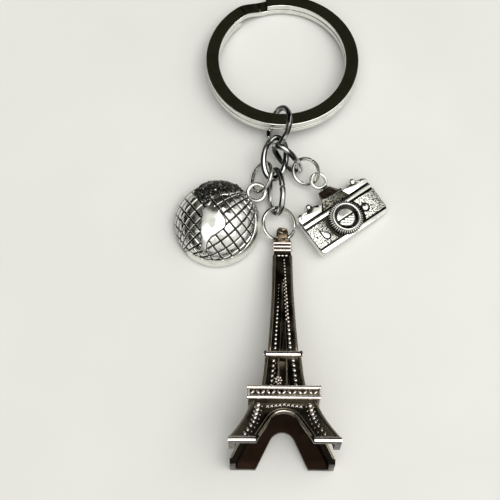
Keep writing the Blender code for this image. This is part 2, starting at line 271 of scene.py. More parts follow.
class Builder:
    """Collects vertices, faces and relief values of one piece."""

    def __init__(self):
        self.verts = []
        self.faces = []
        self.relief = []

    def ring(self, points, relief=1.0):
        start = len(self.verts)
        self.verts += [Vector(point) for point in points]
        self.relief += list(relief) if isinstance(relief, (list, tuple)) else [relief] * len(points)
        return list(range(start, start + len(points)))

    def join(self, lower, upper):
        count = len(lower)
        for index in range(count):
            after = (index + 1) % count
            self.faces.append((lower[index], lower[after], upper[after], upper[index]))

    def skin(self, rows, caps=True):
        """Faces between neighbouring rings, and over both ends."""
        for lower, upper in zip(rows, rows[1:]):
            self.join(lower, upper)
        if caps:
            self.faces.append(tuple(reversed(rows[0])))
            self.faces.append(tuple(rows[-1]))

    def tube(self, rings, relief=1.0, close=False):
        """Rings joined into a closed solid, or into a closed loop; relief is one value or one a ring."""
        values = relief if isinstance(relief, list) else [relief] * len(rings)
        rows = [self.ring(points, value) for points, value in zip(rings, values)]
        self.skin(rows, not close)
        if close:
            self.join(rows[-1], rows[0])

    def ball(self, centre, axes, relief=1.0, around=10, up=5):
        """A small dome with its own three axes, for a cast bead."""
        rows = []
        for level in range(up):
            rise = radians(90 * level / up)
            rows.append(self.ring([centre + axes[0] * cos(turn) * cos(rise)
                                   + axes[1] * sin(turn) * cos(rise) + axes[2] * sin(rise)
                                   for turn in turns(around)], relief))
        self.skin(rows, False)
        top = self.ring([centre + axes[2]], relief)[0]
        for index in range(around):
            self.faces.append((rows[-1][index], rows[-1][(index + 1) % around], top))

    def strip(self, path, normals, width, height, relief=1.0):
        """A raised round-topped strip along a path; normals give the way out of the surface."""
        section = ((-0.5, -0.6), (-0.5, 0.25), (-0.36, 0.72), (-0.14, 0.97), (0.14, 0.97), (0.36, 0.72),
                   (0.5, 0.25), (0.5, -0.6))
        rings = []
        for index, point in enumerate(path):
            before = path[max(index - 1, 0)]
            after = path[min(index + 1, len(path) - 1)]
            side = (after - before).normalized().cross(normals[index]).normalized()
            rings.append([point + side * (a * width) + normals[index] * (b * height) for a, b in section])
        self.tube(rings, relief)

    def transform(self, matrix):
        self.verts = [matrix @ vert for vert in self.verts]
        return self

    def done(self, name, material, angle=40.0):
        item = mesh_object(name, self.verts, self.faces, material, self.relief)
        work = bmesh.new()
        work.from_mesh(item.data)
        bmesh.ops.recalc_face_normals(work, faces=work.faces)
        work.to_mesh(item.data)
        work.free()
        item.data.set_sharp_from_angle(angle=radians(angle))
        return item


def frame_of(heading, pitch, roll):
    """Across, along and normal of a piece, from its heading, pitch and roll."""
    yaw, tilt, turn = (radians(value) for value in (heading, pitch, roll))
    along = Vector((sin(yaw) * cos(tilt), cos(yaw) * cos(tilt), sin(tilt)))
    level = Vector((cos(yaw), -sin(yaw), 0.0))
    across = cos(turn) * level + sin(turn) * level.cross(along)
    return Matrix((across, along, across.cross(along))).transposed().to_4x4()


def box_of(objects):
    corners = [item.matrix_world @ vert.co for item in objects for vert in item.data.vertices]
    low = Vector([min(corner[axis] for corner in corners) for axis in range(3)])
    high = Vector([max(corner[axis] for corner in corners) for axis in range(3)])
    return low, high


def seat(node, pieces, turn, body=1):
    """Turns pieces built in a node's own axes and slides them to where the CAD node is.

    The first pieces, as many as body says, are the whole outer shape, so their box is matched to the
    node's box. The first piece replaces the node.
    """
    bpy.context.view_layer.update()
    for item in pieces:
        item.data.transform(turn)
    low, high = box_of(pieces[:body])
    wanted_low, wanted_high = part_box(node)
    shift = (wanted_low + wanted_high - low - high) / 2
    for item in pieces:
        item.data.transform(Matrix.Translation(shift))
        item.data.update()
        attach(item, node)
    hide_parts(node)


def circle(x, y, radius, step=15):
    """A closed outline round a point."""
    return [(x + radius * cos(radians(a)), y + radius * sin(radians(a)))
            for a in range(0, 360, step)]


def smooth_step(value):
    value = min(max(value, 0.0), 1.0)
    return value * value * (3 - 2 * value)


# ---------------- rings and links

def round_section(radius, sides):
    return [(radius * cos(turn), radius * sin(turn)) for turn in turns(sides)]


def reflection_streak(out, up, angle, seed, bias):
    """Long dark and bright streaks along the wire, as a relief value: painted reflections, standing in for
    what plated wire reflects.
    """
    place = Vector((out * 0.9 + 3.1 * seed, up * 0.9, 1.1 * sin(angle)))
    sweep = Vector((0.0, 0.0, 1.1 * cos(angle) + 7.0))
    return smooth_step(bias + 1.9 * noise.noise(place + sweep))


def wire(node, pose, half_length, half_width, gauge, gap_at, gap):
    """A link or jump ring bent from round wire, its ends cut square and slightly rounded."""
    link = gauge == LINK_WIRE
    turn = frame_of(*pose)
    speed = hypot(half_length * sin(radians(gap_at)), half_width * cos(radians(gap_at)))
    half_gap = degrees(gap / 2 / speed)
    stations = 168
    radius = gauge / 2 * WIRE_SHARE
    # How bright the painted reflection streaks run: links mostly dark, jump rings mostly bright.
    bias = 0.42 if link else 0.85
    builder = Builder()
    rings = []
    reflection_streaks = []
    for station in range(stations):
        share = station / (stations - 1)
        angle = radians(gap_at + half_gap + (360 - 2 * half_gap) * share)
        centre = Vector((half_width * sin(angle), half_length * cos(angle), 0))
        tangent = Vector((half_width * cos(angle), -half_length * sin(angle), 0)).normalized()
        outward = tangent.cross(UP)
        size = 0.86 if station in (0, stations - 1) else (0.97 if station in (1, stations - 2) else 1.0)
        wobble = 1 + 0.012 * noise.noise(Vector((angle * 2, gap_at, gauge)))
        section = round_section(radius, 22)
        rings.append([centre + (outward * a + UP * b) * size * wobble for a, b in section])
        reflection_streaks.append([reflection_streak(a / radius, b / radius, angle, gap_at, bias) for a, b in section])
    builder.tube(rings, reflection_streaks)
    item = builder.done(f"{node}_wire", LINK if link else WIRE, 50)
    seat(node, [item], turn)


def key_ring():
    """Flat wire wound nearly twice round, stepping up to the second coil where it meets its start."""
    half_band = BAND / 2
    half_coil = COIL / 2
    section = []
    for across, up, start, corner in ((1, 1, 0, 0.14), (-1, 1, 90, 0.14), (-1, -1, 180, 0.28),
                                      (1, -1, 270, 0.28)):
        for step in range(7):
            angle = radians(start + 15 * step)
            section.append((across * (half_band - corner) + corner * cos(angle),
                            up * (half_coil - corner) + corner * sin(angle)))
    stations = 620
    rings = []
    for station in range(stations):
        bearing = WIRE_START + (WIRE_END - WIRE_START) * station / (stations - 1)
        climb = smooth_step((bearing - JOG_START) / JOG_TURN)
        height = half_coil + climb * (COIL + COIL_GAP)
        angle = radians(bearing)
        end = min(station, stations - 1 - station)
        size = (0.90, 0.97, 1.0)[min(end, 2)]
        middle = RING_RADIUS - half_band
        rings.append([((middle + a * size) * cos(angle), (middle + a * size) * sin(angle), height + b * size)
                      for a, b in section])
    # Painted shade: the bottom of the flat wire's section, along the gap between the coils and over the
    # table, takes the ring's dark colour.
    underside_shade = [smooth_step((up + half_coil - 0.06) / 0.16) for across, up in section]
    builder = Builder()
    builder.tube(rings, [underside_shade] * stations)
    item = builder.done("key_ring_band", CHROME, 50)
    seat("key_ring", [item], Matrix.Rotation(radians(-RING_TILT), 4, "X"))


# ---------------- tower

def half_at(depth):
    """Half width of the tower's shaft and legs at a distance from its tip, galleries left out."""
    if depth > GALLERY_BOTTOM:
        share = (depth - GALLERY_BOTTOM) / LEG_HEIGHT
        return LEG_TOP_HALF + (FOOT_HALF - LEG_INSET - LEG_TOP_HALF) * share ** LEG_POWER
    shaft = ((3.1, 1.5), (6.0, 1.72), (8.0, 1.75), (14.0, 1.88), (20.0, 2.2), (SHAFT_BOTTOM, 2.65))
    neck = ((NECK_TOP, 3.12), (31.0, 3.45), (GALLERY_TOP, 3.9), (GALLERY_BOTTOM, 5.4))
    table = shaft if depth <= SHAFT_BOTTOM else neck
    for (d0, h0), (d1, h1) in zip(table, table[1:]):
        if depth <= d1:
            return h0 + (h1 - h0) * max(depth - d0, 0) / (d1 - d0)
    return table[-1][1]


def square_ring(depth, half, corner=0.12):
    """A square section with rounded corners at a depth below the tip."""
    points = []
    for quarter in range(4):
        for step in range(3):
            angle = radians(90 * quarter + 45 * step)
            sx = 1 if quarter in (0, 3) else -1
            sy = 1 if quarter in (0, 1) else -1
            points.append((sx * (half - corner) + corner * cos(angle),
                           sy * (half - corner) + corner * sin(angle), -depth))
    return points


def arch_profile(grow=0.0, low=-(TOWER_LENGTH + 1.0)):
    """Outline of the opening between two legs, in x and z, grown outward by a margin."""
    radius = ARCH_RADIUS + grow
    lean = radians(ARCH_LEAN)
    foot = ARCH_FOOT - tan(lean) * (TOWER_LENGTH + 1.0 + low) + grow / cos(lean)
    points = [(foot, low)]
    for step in range(25):
        angle = lean + (pi - 2 * lean) * step / 24
        points.append((radius * cos(angle), ARCH_CENTRE + radius * sin(angle)))
    return points + [(-foot, low)]


def tower_tool(name, front, back, spin, relief=1.0):
    """A prism between two outlines, turned about the tower's axis, that a Boolean takes away."""
    builder = Builder()
    builder.tube([front, back], relief)
    builder.transform(Matrix.Rotation(radians(spin), 4, "Z"))
    return builder.done(name, GUN)


def keep_result(item):
    """Applies a piece's modifiers to its mesh."""
    depsgraph = bpy.context.evaluated_depsgraph_get()
    mesh = bpy.data.meshes.new_from_object(item.evaluated_get(depsgraph))
    item.modifiers.clear()
    item.data = mesh


def apply_booleans(item, jobs):
    """Cuts and adds the tools in order, and removes them."""
    for tool, operation in jobs:
        modifier = item.modifiers.new(operation, "BOOLEAN")
        modifier.operation = operation
        modifier.object = tool
        modifier.solver = "EXACT"
        modifier.material_mode = "TRANSFER"
    keep_result(item)
    for tool, _ in jobs:
        bpy.data.objects.remove(tool)


def soften(item, width):
    """Rounds a piece's sharp edges."""
    modifier = item.modifiers.new("soft", "BEVEL")
    modifier.width = width * MM
    modifier.segments = 2
    modifier.limit_method = "ANGLE"
    modifier.angle_limit = radians(32)
    keep_result(item)
    item.data.shade_smooth()
    item.data.set_sharp_from_angle(angle=radians(50))


def face_point(x, depth, lift=0.0):
    """A point on the tower's front face, lifted out of it."""
    return Vector((x, half_at(depth) + lift, -depth))


def face_normal(depth):
    slope = (half_at(depth + 0.3) - half_at(depth - 0.3)) / 0.6
    return Vector((0, 1, slope)).normalized()


def hollow_tool():
    """The space inside the tower, open at its feet. The faces it cuts take a near-black brown: painted shade
    inside the hollow.
    """
    levels = [(30.0, 1.6), (36.3, 3.6)]
    levels += [(depth, half_at(depth) - TOWER_WALL) for depth in (37.7, 38.8, 39.9, 41, 42.1, 43.2, 44.0)]
    levels += [(TOWER_LENGTH + 1, FOOT_HALF - TOWER_WALL)]
    inner = Builder()
    inner.tube([square_ring(depth, half, 0.4) for depth, half in levels])
    return inner.done("hollow_tool", HOLLOW_SHADE)


def tip_tools():
    """The rounded tab at the tip, and the hole drilled through it."""
    slices = []
    for x, shrink in ((-1.1, 0.42), (-1.02, 0.22), (-0.85, 0.08), (-0.5, 0.0), (0.5, 0.0), (0.85, 0.08),
                      (1.02, 0.22), (1.1, 0.42)):
        radius = TIP_RADIUS - shrink
        top = [(x, radius * cos(radians(a)), -HOLE_DEPTH + radius * sin(radians(a)))
               for a in range(0, 181, 10)]
        slices.append(top + [(x, -1.55, -4.2), (x, 1.55, -4.2)])
    tab = Builder()
    tab.tube(slices)
    hole = Builder()
    hole.tube([[(x, y, z) for y, z in circle(0, -HOLE_DEPTH, HOLE_RADIUS, 10)] for x in (-3.0, 3.0)])
    return [(tab.done("tab_tool", GUN), "UNION"), (hole.done("hole_tool", GUN), "DIFFERENCE")]


def slot_tools(turn):
    """Two shallow panels sunk into one face of the tower: one down the shaft and one at the neck."""
    shaft = [(-0.10, -12.0), (0.10, -12.0), (0.30, -20.0), (0.62, -25.6), (-0.62, -25.6), (-0.30, -20.0)]
    neck = [(-0.85, -28.3), (0.85, -28.3), (1.15, -33.2), (-1.15, -33.2)]
    tools = []
    for name, outline, sunk in (("slot_tool", shaft, 0.35), ("neck_tool", neck, 0.4)):
        ends = [[(x, half_at(-z) + lift, z) for x, z in outline] for lift in (-sunk, 1.0)]
        tools.append((tower_tool(f"{name}_{turn}", *ends, 90 * turn, 0.0), "DIFFERENCE"))
    return tools


def tower_shell():
    """The tower's hollow body: shaft, neck, gallery, legs and foot bars, all of square section."""
    levels = [(3.1, 1.4), (3.5, 1.55), (5.9, 1.62), (6.3, half_at(6.3))]
    levels += [(8 + 1.5 * step, half_at(8 + 1.5 * step)) for step in range(13)]
    levels += [(SHAFT_BOTTOM, 2.65), (SHAFT_BOTTOM, 3.15), (NECK_TOP, 3.15), (NECK_TOP, 3.12)]
    levels += [(depth, half_at(depth)) for depth in (29, 31, 32.5)]
    levels += [(GALLERY_TOP, 3.9), (GALLERY_TOP, GALLERY_HALF), (GALLERY_BOTTOM, GALLERY_HALF)]
    for step in range(17):
        depth = GALLERY_BOTTOM + LEG_HEIGHT * step / 16
        levels.append((depth, half_at(depth + 0.001)))
    levels += [(GALLERY_BOTTOM + LEG_HEIGHT, FOOT_HALF), (TOWER_LENGTH, FOOT_HALF)]
    builder = Builder()
    builder.tube([square_ring(depth, half) for depth, half in levels])
    shell = builder.done("tower_shell", GUN, 35)
    reach = FOOT_HALF + 3
    arch = [[(x, y, z) for x, z in arch_profile()] for y in (-reach, reach)]
    jobs = [(hollow_tool(), "DIFFERENCE"), (tower_tool("arch_tool", *arch, 0), "DIFFERENCE"),
            (tower_tool("cross_tool", *arch, 90), "DIFFERENCE")]
    jobs += tip_tools()
    for turn in range(4):
        jobs += slot_tools(turn)
    apply_booleans(shell, jobs)
    soften(shell, 0.07)
    return shell


def on_face(right, depth, lift=0.0):
    """A point on a tower face, for someone who looks at it with the tip up."""
    return face_point(-right, depth, lift)


def four_faces(draw):
    """Repeats one face's relief on all four faces of the tower."""
    whole = Builder()
    for turn in range(4):
        part = Builder()
        draw(part)
        part.transform(Matrix.Rotation(radians(90 * turn), 4, "Z"))
        offset = len(whole.verts)
        whole.verts += part.verts
        whole.relief += part.relief
        whole.faces += [tuple(index + offset for index in face) for face in part.faces]
    return whole


def rib(part, start, stop, place, width, height, relief):
    """A raised line down a tower face; place gives its distance to the right at a depth."""
    depths = [start + (stop - start) * step / 20 for step in range(21)]
    path = [on_face(place(depth), depth) for depth in depths]
    part.strip(path, [face_normal(depth) for depth in depths], width, height, relief)


def face_ribs(part):
    for side in (-1, 1):
        for start, stop, inset, width in ((6.4, 26.3, 0.24, 0.40), (27.6, 33.9, 0.26, 0.40),
                                          (36.6, 44.0, 0.27, 0.44)):
            rib(part, start, stop, lambda depth, s=side, i=inset: s * (half_at(depth) - i), width, 0.16, 0.62)
        rib(part, 27.9, 33.4, lambda depth, s=side: s * 0.72 - 0.18, 0.36, 0.20, 1.0)
    rib(part, 20.5, 26.2, lambda depth: 0.34 + 0.05 * (depth - 20), 0.16, 0.10, 0.35)
    rib(part, 20.5, 26.2, lambda depth: -0.34 - 0.05 * (depth - 20), 0.16, 0.10, 0.35)
    rib(part, 16.5, 26.2, lambda depth: -0.10 + 0.10 * (26.2 - depth), 0.12, 0.07, 0.25)
    for grow, width, height, relief in ((0.20, 0.36, 0.22, 1.0), (0.78, 0.24, 0.14, 0.65)):
        outline = arch_profile(grow, -43.9)
        path = [face_point(x, -z) for x, z in outline]
        part.strip(path, [face_normal(-z) for x, z in outline], width, height, relief)


def leaning(lean):
    """The long and the cross direction of a bead that leans in the plane of a tower face."""
    return Vector((cos(lean), 0, sin(lean))), Vector((-sin(lean), 0, cos(lean)))


def bead(part, dice, right, depth, wide, tall, high, lean=0.0, shine=None):
    """A cast bead on a tower face; chance sets how bright it is unless shine does."""
    normal = face_normal(depth)
    across = leaning(lean)[0]
    down = normal.cross(across).normalized()
    value = dice.uniform(0.60, 1.0) if shine is None else shine
    part.ball(on_face(right, depth, -0.02), (across * wide, down * tall, normal * high), value)


def shaft_beads(part, dice):
    """Two rows of beads that draw together up the shaft, with finer ones beside them."""
    start = 7.4
    depth = start
    while depth < 26.0:
        share = (depth - start) / 18.6
        size = 0.18 + 0.14 * share
        place = 0.30 + 0.97 * share
        bead(part, dice, place, depth, size, size * 1.3, 0.22, dice.uniform(-0.9, 0.2))
        if 11.0 < depth < 20.0:
            bead(part, dice, place - 0.30, depth + 0.35, size * 0.7, size, 0.16, 0.6, 0.55)
        if depth > 16.5:
            left = -0.93 - 0.57 * (depth - 17) / 9
            bead(part, dice, left, depth + 0.2, size * 0.9, size, 0.20, dice.uniform(-0.2, 0.6))
        elif depth > 12.0:
            bead(part, dice, -0.72 - 0.2 * (depth - 12) / 5, depth, size * 0.5, size * 0.6, 0.12, 0.0, 0.3)
        depth += 0.62 + 0.30 * share


def neck_beads(part, dice):
    """Beads down both edges of the neck, and a rosette low between them."""
    depth = 28.2
    while depth < 33.8:
        drift = 0.55 * (depth - 28) / 6
        bead(part, dice, 1.72 + drift, depth, 0.33, 0.44, 0.30, -0.7)
        bead(part, dice, -1.72 - drift, depth + 0.15, 0.29, 0.36, 0.28, 0.6)
        bead(part, dice, -1.38 - drift, depth + 0.62, 0.12, 0.16, 0.16, 0.0, 0.5)
        depth += 0.98
    for angle in turns(7):
        bead(part, dice, -0.90 + 0.50 * cos(angle), 32.2 + 0.70 * sin(angle), 0.25, 0.25, 0.28, 0.0, 1.0)
    bead(part, dice, -0.90, 32.2, 0.30, 0.30, 0.36, 0.0, 1.0)


def leg_beads(part, dice):
    """Beads down both legs, duller toward the feet, and a lattice and a crown over the arch."""
    for side in (-1, 1):
        fade = 0.7 if side < 0 else 1.0
        dim = 0.75 if side < 0 else 1.0
        for step in range(8):
            depth = 37.4 + 6.2 * step / 7
            arch = 3.3 + 1.4 * smooth_step((depth - 40.5) / 3.5)
            middle = side * (half_at(depth) - 0.2 + arch) / 2
            size = 1.0 - 0.45 * smooth_step((step - 1) / 4) * fade
            shine = 1.0 - 0.55 * smooth_step((step - 1.5) / 3) * dim
            bead(part, dice, middle, depth, 0.43 * size, 0.50 * size, 0.32, -0.5 * side, shine)
            bead(part, dice, middle + 0.62 * side, depth + 0.40, 0.17, 0.22, 0.14, 0.0, shine * 0.55)
            bead(part, dice, middle - 0.62 * side, depth + 0.28, 0.15, 0.20, 0.12, 0.0, shine * 0.50)
    for step in range(9):
        depth = 37.35 + 0.10 * abs(step - 4)
        for lean in (0.75, -0.75):
            bead(part, dice, -2.9 + 0.725 * step, depth, 0.46, 0.12, 0.22, lean, 0.75)
    radius = ARCH_RADIUS + 0.24
    crown = []
    for angle in range(52, 129, 4):
        turn = radians(angle)
        crown.append((radius * cos(turn), -ARCH_CENTRE - radius * sin(turn)))
    path = [face_point(x, depth, 0.10) for x, depth in crown]
    part.strip(path, [face_normal(depth) for x, depth in crown], 0.34, 0.22, 0.95)


def bar(part, start, stop, width, height):
    """A straight bright bar along a tower face."""
    part.strip([Vector(start), Vector(stop)], [FACE_OUT] * 2, width, height, 1.0)


def gallery(part, dice):
    """The framed band of the lower gallery, with a row of leaning beads in it."""
    half = 6.42
    out = half - 0.14
    for depth in (34.34, 36.14):
        bar(part, (-half, out, -depth), (half, out, -depth), 0.68, 0.24)
    for side in (-1, 1):
        bar(part, (side * GALLERY_HALF, out, -34.5), (side * GALLERY_HALF, out, -36.0), 0.42, 0.24)
    for step in range(13):
        lean = 0.75 if step % 2 else -0.75
        long, cross = leaning(lean)
        part.ball(Vector((-5.5 + 5.5 * step / 6, 6.17, -35.24)), (long * 0.46, cross * 0.25, FACE_OUT * 0.24),
                  dice.uniform(0.8, 1.0))


def face_relief(part):
    """The worn, bright relief of one face: beads, galleries, bands and the feet's bars."""
    dice = random.Random(7)
    shaft_beads(part, dice)
    neck_beads(part, dice)
    leg_beads(part, dice)
    gallery(part, dice)
    bar(part, (-3.50, 3.24, -26.95), (3.50, 3.24, -26.95), 1.02, 0.26)
    for band in range(3):
        depth = 3.72 + 0.76 * band
        bar(part, (-1.72, 1.64, -depth), (1.72, 1.64, -depth), 0.46, 0.24)
    for step in range(3):
        bead(part, dice, -0.72 + 0.72 * step, 6.45, 0.32, 0.18, 0.16, 0.0, 1.0)
    for side in (-1, 1):
        out = FOOT_HALF - 0.10
        bar(part, (side * 4.95, out, -44.52), (side * 9.5, out, -44.52), 0.95, 0.18)


def tower_tip():
    """The rounded tip: a rim over the drilled tab, shoulders beside it and small cast scrolls."""
    builder = Builder()
    rim = TIP_RADIUS - 0.02
    normals = [Vector((0, cos(turn), sin(turn))) for turn in (radians(-38 + 8 * step) for step in range(33))]
    path = [normal * rim - UP * HOLE_DEPTH for normal in normals]
    builder.strip(path, normals, 1.75, 0.12, 0.22)
    right = Vector((1, 0, 0))
    for face in (-1, 1):
        out = FACE_OUT * face
        builder.ball(out - UP * 3.1, (right * 1.70, UP * 0.95, out * 0.78), 0.30, 20, 7)
        for step in range(6):
            long, cross = leaning(0.9 if step % 2 else -0.9)
            centre = Vector((-1.0 + 0.4 * step, face * 1.66, -2.75 + 0.25 * cos(2.0 * step)))
            builder.ball(centre, (long * 0.34, cross * 0.13, out * 0.20), 1.0)
        for step in range(4):
            odd = step % 2
            turn = radians(8 + 24 * step)
            up = Vector((0, face * cos(turn), sin(turn)))
            centre = Vector((0.35 if odd else -0.35, 0, -HOLE_DEPTH)) + up * 1.94
            across = right + up.cross(right) * (0.5 if odd else -0.5)
            builder.ball(centre, (across * 0.46, up.cross(across) * 0.14, up * 0.16), 1.0)
    return builder.done("tower_tip_scrolls", GOLD, 60)


def tower():
    shell = tower_shell()
    ribs = four_faces(face_ribs).done("tower_ribs", EDGE, 60)
    relief = four_faces(face_relief).done("tower_bright_relief", BRIGHT, 60)
    pieces = [shell, ribs, relief, tower_tip()]
    lie_down = Matrix.Rotation(radians(TOWER_PITCH - 90), 4, "X")
    turn = Matrix.Rotation(radians(TOWER_HEADING), 4, "Z") @ lie_down
    seat("tower_charm", pieces, turn)


# ---------------- shared charm parts

def torus(builder, centre, radius, gauge, relief=1.0, around=64, sides=16, flat=1.0):
    """A ring of round wire; flat squeezes its section in height."""
    rings = []
    for turn in turns(around):
        rings.append([(centre[0] + (radius + a) * cos(turn), centre[1] + (radius + a) * sin(turn),
                       centre[2] + b * flat) for a, b in round_section(gauge / 2, sides)])
    builder.tube(rings, relief, close=True)


def slab(builder, outline, low, high, relief=1.0, inset=0.10):
    """A flat plate with rounded upper and lower edges; relief is one value or one for each of 6 levels."""
    count = len(outline)
    centre = Vector((sum(point[0] for point in outline) / count, sum(point[1] for point in outline) / count))

    def shrunk(amount):
        result = []
        for index in range(count):
            before = Vector(outline[index - 1])
            here = Vector(outline[index])
            after = Vector(outline[(index + 1) % count])
            one = (here - before).normalized()
            two = (after - here).normalized()
            bisector = Vector((-(one + two).y, (one + two).x))
            bisector = bisector.normalized() if bisector.length > 1e-6 else (centre - here).normalized()
            result.append(here + bisector * amount)
        return result

    levels = ((inset, low), (inset * 0.3, low + inset * 0.3), (0, low + inset), (0, high - inset),
              (inset * 0.3, high - inset * 0.3), (inset, high))
    values = relief if isinstance(relief, tuple) else (relief,) * len(levels)
    rows = [builder.ring([(point.x, point.y, height) for point in shrunk(amount)], value)
            for (amount, height), value in zip(levels, values)]
    builder.skin(rows)


# ---------------- globe

# The two landmasses, in millimetres on the table's plane, from the middle of the globe.
CONTINENT_SOUTH = ((-2.15, 1.6), (-1.3, 2.1), (-0.3, 2.0), (0.9, 1.4), (1.6, 0.3), (2.2, -0.8), (1.8, -2.0),
                   (0.7, -2.9), (-0.6, -3.6), (-1.3, -4.4), (-1.6, -5.6), (-2.1, -6.5), (-2.5, -5.6),
                   (-2.3, -3.9), (-2.5, -2.0), (-2.3, -0.2))
CONTINENT_NORTH = ((-3.8, 4.6), (-2.9, 4.1), (-2.2, 3.0), (-1.4, 2.7), (-0.8, 3.3), (-0.6, 4.2), (0.8, 4.8),
                   (2.2, 5.0), (3.4, 5.3), (5.0, 6.1), (4.1, 7.2), (2.6, 7.9), (1.7, 8.3), (-1.2, 8.4),
                   (-2.6, 7.5), (-3.6, 6.0))


def polygon_distance(x, y, polygon):
    """Signed distance to a polygon's edge: positive inside."""
    best = 1e9
    inside = False
    count = len(polygon)
    for index in range(count):
        ax, ay = polygon[index - 1]
        bx, by = polygon[index]
        dx, dy = bx - ax, by - ay
        share = min(max(((x - ax) * dx + (y - ay) * dy) / (dx * dx + dy * dy), 0.0), 1.0)
        best = min(best, hypot(x - ax - dx * share, y - ay - dy * share))
        if (ay > y) != (by > y) and x < ax + (y - ay) * dx / dy:
            inside = not inside
    return best if inside else -best


def grid_lines(x, y, z):
    """Distances to the nearest parallel and meridian, and the shine of the cell between them."""
    angle = radians(GLOBE_HEADING)
    along = (x * sin(angle) + y * cos(angle)) / GLOBE_RADIUS
    across = (x * cos(angle) - y * sin(angle)) / GLOBE_RADIUS
    latitude = degrees(asin(max(-1.0, min(1.0, along))))
    longitude = degrees(atan2(across, z / GLOBE_HEIGHT))
    degree = radians(1) * 7.6
    parallel = abs((latitude / GRID_LATITUDE + 0.5) % 1.0 - 0.5) * GRID_LATITUDE * degree
    meridian = abs((longitude / GRID_LONGITUDE + 0.25) % 1.0 - 0.5) * GRID_LONGITUDE * degree
    meridian *= max(cos(radians(latitude)), 0.12)
    row = round(latitude / GRID_LATITUDE + 0.5)
    column = round(longitude / GRID_LONGITUDE)
    return parallel, meridian, noise.noise(Vector((row * 2.3, column * 3.7, 9.1)))


def globe_surface(x, y, z):
    """Height of the relief and how clean the surface is, at a point of the smooth half globe."""
    wave = noise.noise(Vector((x * 0.9, y * 0.9, 3.0))) * 0.35
    south = polygon_distance(x + wave, y + wave, CONTINENT_SOUTH)
    north = polygon_distance(x - wave, y + wave, CONTINENT_NORTH)
    parallel, meridian, cell = grid_lines(x, y, z)
    groove = 1.0 - smooth_step((min(parallel, meridian) - 0.05) / 0.15)
    pillow = 0.06 * smooth_step(min(parallel, 1.0)) * smooth_step(min(meridian, 1.0))
    height = -0.22 * groove + pillow
    clean = (1.0 - groove) * (0.88 + 0.22 * cell)
    if south > -0.30:
        blend = smooth_step((south + 0.30) / 0.22)
        moat = 1.0 - smooth_step(abs(south + 0.12) / 0.16)
        height = height * (1 - blend) + 0.24 * blend - 0.12 * moat
        clean = clean * (1 - blend) + blend - 0.9 * moat
    if north > -0.30:
        blend = smooth_step((north + 0.30) / 0.22)
        rough = noise.fractal(Vector((x, y, z)) * 1.7, 0.6, 2.1, 5)
        height = height * (1 - blend) + (0.20 + 0.22 * rough) * blend
        clean = clean * (1 - blend) + (0.05 + 0.50 * max(rough, 0.0)) * blend
    reach = hypot(x, y)
    toward = (0.5 * x - 0.866 * y) / max(reach, 0.01)
    if toward > 0.2 and reach > 7.55:
        border = smooth_step((reach - 7.75) / 0.10) * smooth_step((toward - 0.2) / 0.15)
        line = 1 - smooth_step((abs(reach - 7.72) - 0.05) / 0.10)
        height = height * (1 - border) - 0.18 * line
        clean = clean * (1 - border) + border - 0.9 * line
    if z < 0.7:
        rim = smooth_step((0.7 - z) / 0.35)
        height *= 1 - rim
        clean = clean * (1 - rim) + 0.9 * rim
    return height, max(0.0, min(1.0, clean))


def dome_ring(radius, height, rise, around):
    """One level of a smooth half globe, at an angle above its rim."""
    return [Vector((radius * cos(rise) * cos(turn), radius * cos(rise) * sin(turn), height * sin(rise)))
            for turn in turns(around)]


def relief_ring(points):
    """Lifts the points of a level by the globe's relief, and says how clean each one is."""
    yaw = radians(GLOBE_HEADING)
    lifted = []
    values = []
    for x, y, z in points:
        east = x * cos(yaw) + y * sin(yaw)
        north = -x * sin(yaw) + y * cos(yaw)
        height, clean = globe_surface(east, north, z)
        out = Vector((x / GLOBE_RADIUS ** 2, y / GLOBE_RADIUS ** 2, z / GLOBE_HEIGHT ** 2)).normalized()
        lifted.append(Vector((x, y, z)) + out * height)
        values.append(clean)
    return lifted, values


def globe_dome():
    """The half globe's shell: a plain hollow below, the map and its net above."""
    around = 560
    levels = 120
    hollow_levels = 14
    builder = Builder()
    rows = []
    for level in range(hollow_levels):
        rise = radians(86.0 * (1 - level / (hollow_levels - 1)))
        hollow = dome_ring(GLOBE_RADIUS - GLOBE_WALL, GLOBE_HEIGHT - GLOBE_WALL, rise, around)
        rows.append(builder.ring(hollow, 0.35))
    for level in range(levels):
        rise = radians(89.0 * (level / (levels - 1)) ** 0.92)
        rows.append(builder.ring(*relief_ring(dome_ring(GLOBE_RADIUS, GLOBE_HEIGHT, rise, around))))
    builder.skin(rows)
    return builder.done("globe_dome", SILVER, 70)


def globe():
    dome = globe_dome()
    eye = Builder()
    torus(eye, (0, GLOBE_REACH, 0.45), 1.7, 0.9, 0.95)
    root = GLOBE_RADIUS - 0.7
    shoulder = GLOBE_RADIUS - 0.1
    collar = [(-0.95, root), (0.95, root), (0.75, shoulder), (-0.75, shoulder)]
    slab(eye, collar, 0.05, 0.85, 0.4)
    loop = eye.done("globe_eye", SILVER, 60)
    seat("globe_charm", [dome, loop], frame_of(GLOBE_HEADING, 6.3, -1.5), body=2)


# ---------------- camera charm

# The camera's top edge on both sides of the hump, from the lens axis.
RIGHT_SHOULDER = [(8.6, 3.9), (8.4, 4.5), (7.8, 4.85), (6.9, 4.95), (6.5, 5.15), (6.35, 5.7), (5.85, 6.0),
                  (5.35, 5.7), (5.15, 5.1), (2.9, 4.9)]
LEFT_SHOULDER = [(-2.3, 4.8), (-3.2, 5.2), (-4.1, 5.4), (-4.5, 6.3), (-5.2, 6.2), (-5.4, 5.5), (-6.2, 5.0),
                 (-7.4, 5.4), (-8.0, 5.1), (-8.1, 4.4)]


def camera_body():
    outline = [(-7.5, -3.62), (7.6, -3.62), (8.3, -3.25), (8.6, -2.6)] + RIGHT_SHOULDER
    outline += [(2.4, 5.2), (1.5, 7.1), (-1.2, 7.0), (-1.55, 5.3)] + LEFT_SHOULDER
    outline += [(-8.1, -3.0), (-7.9, -3.45)]
    builder = Builder()
    slab(builder, outline, 0.0, PLATE - 0.30, (1.0, 1.0, 1.0, 0.9, 0.3, 0.0), 0.18)
    return builder.done("camera_plate", SILVER, 35)


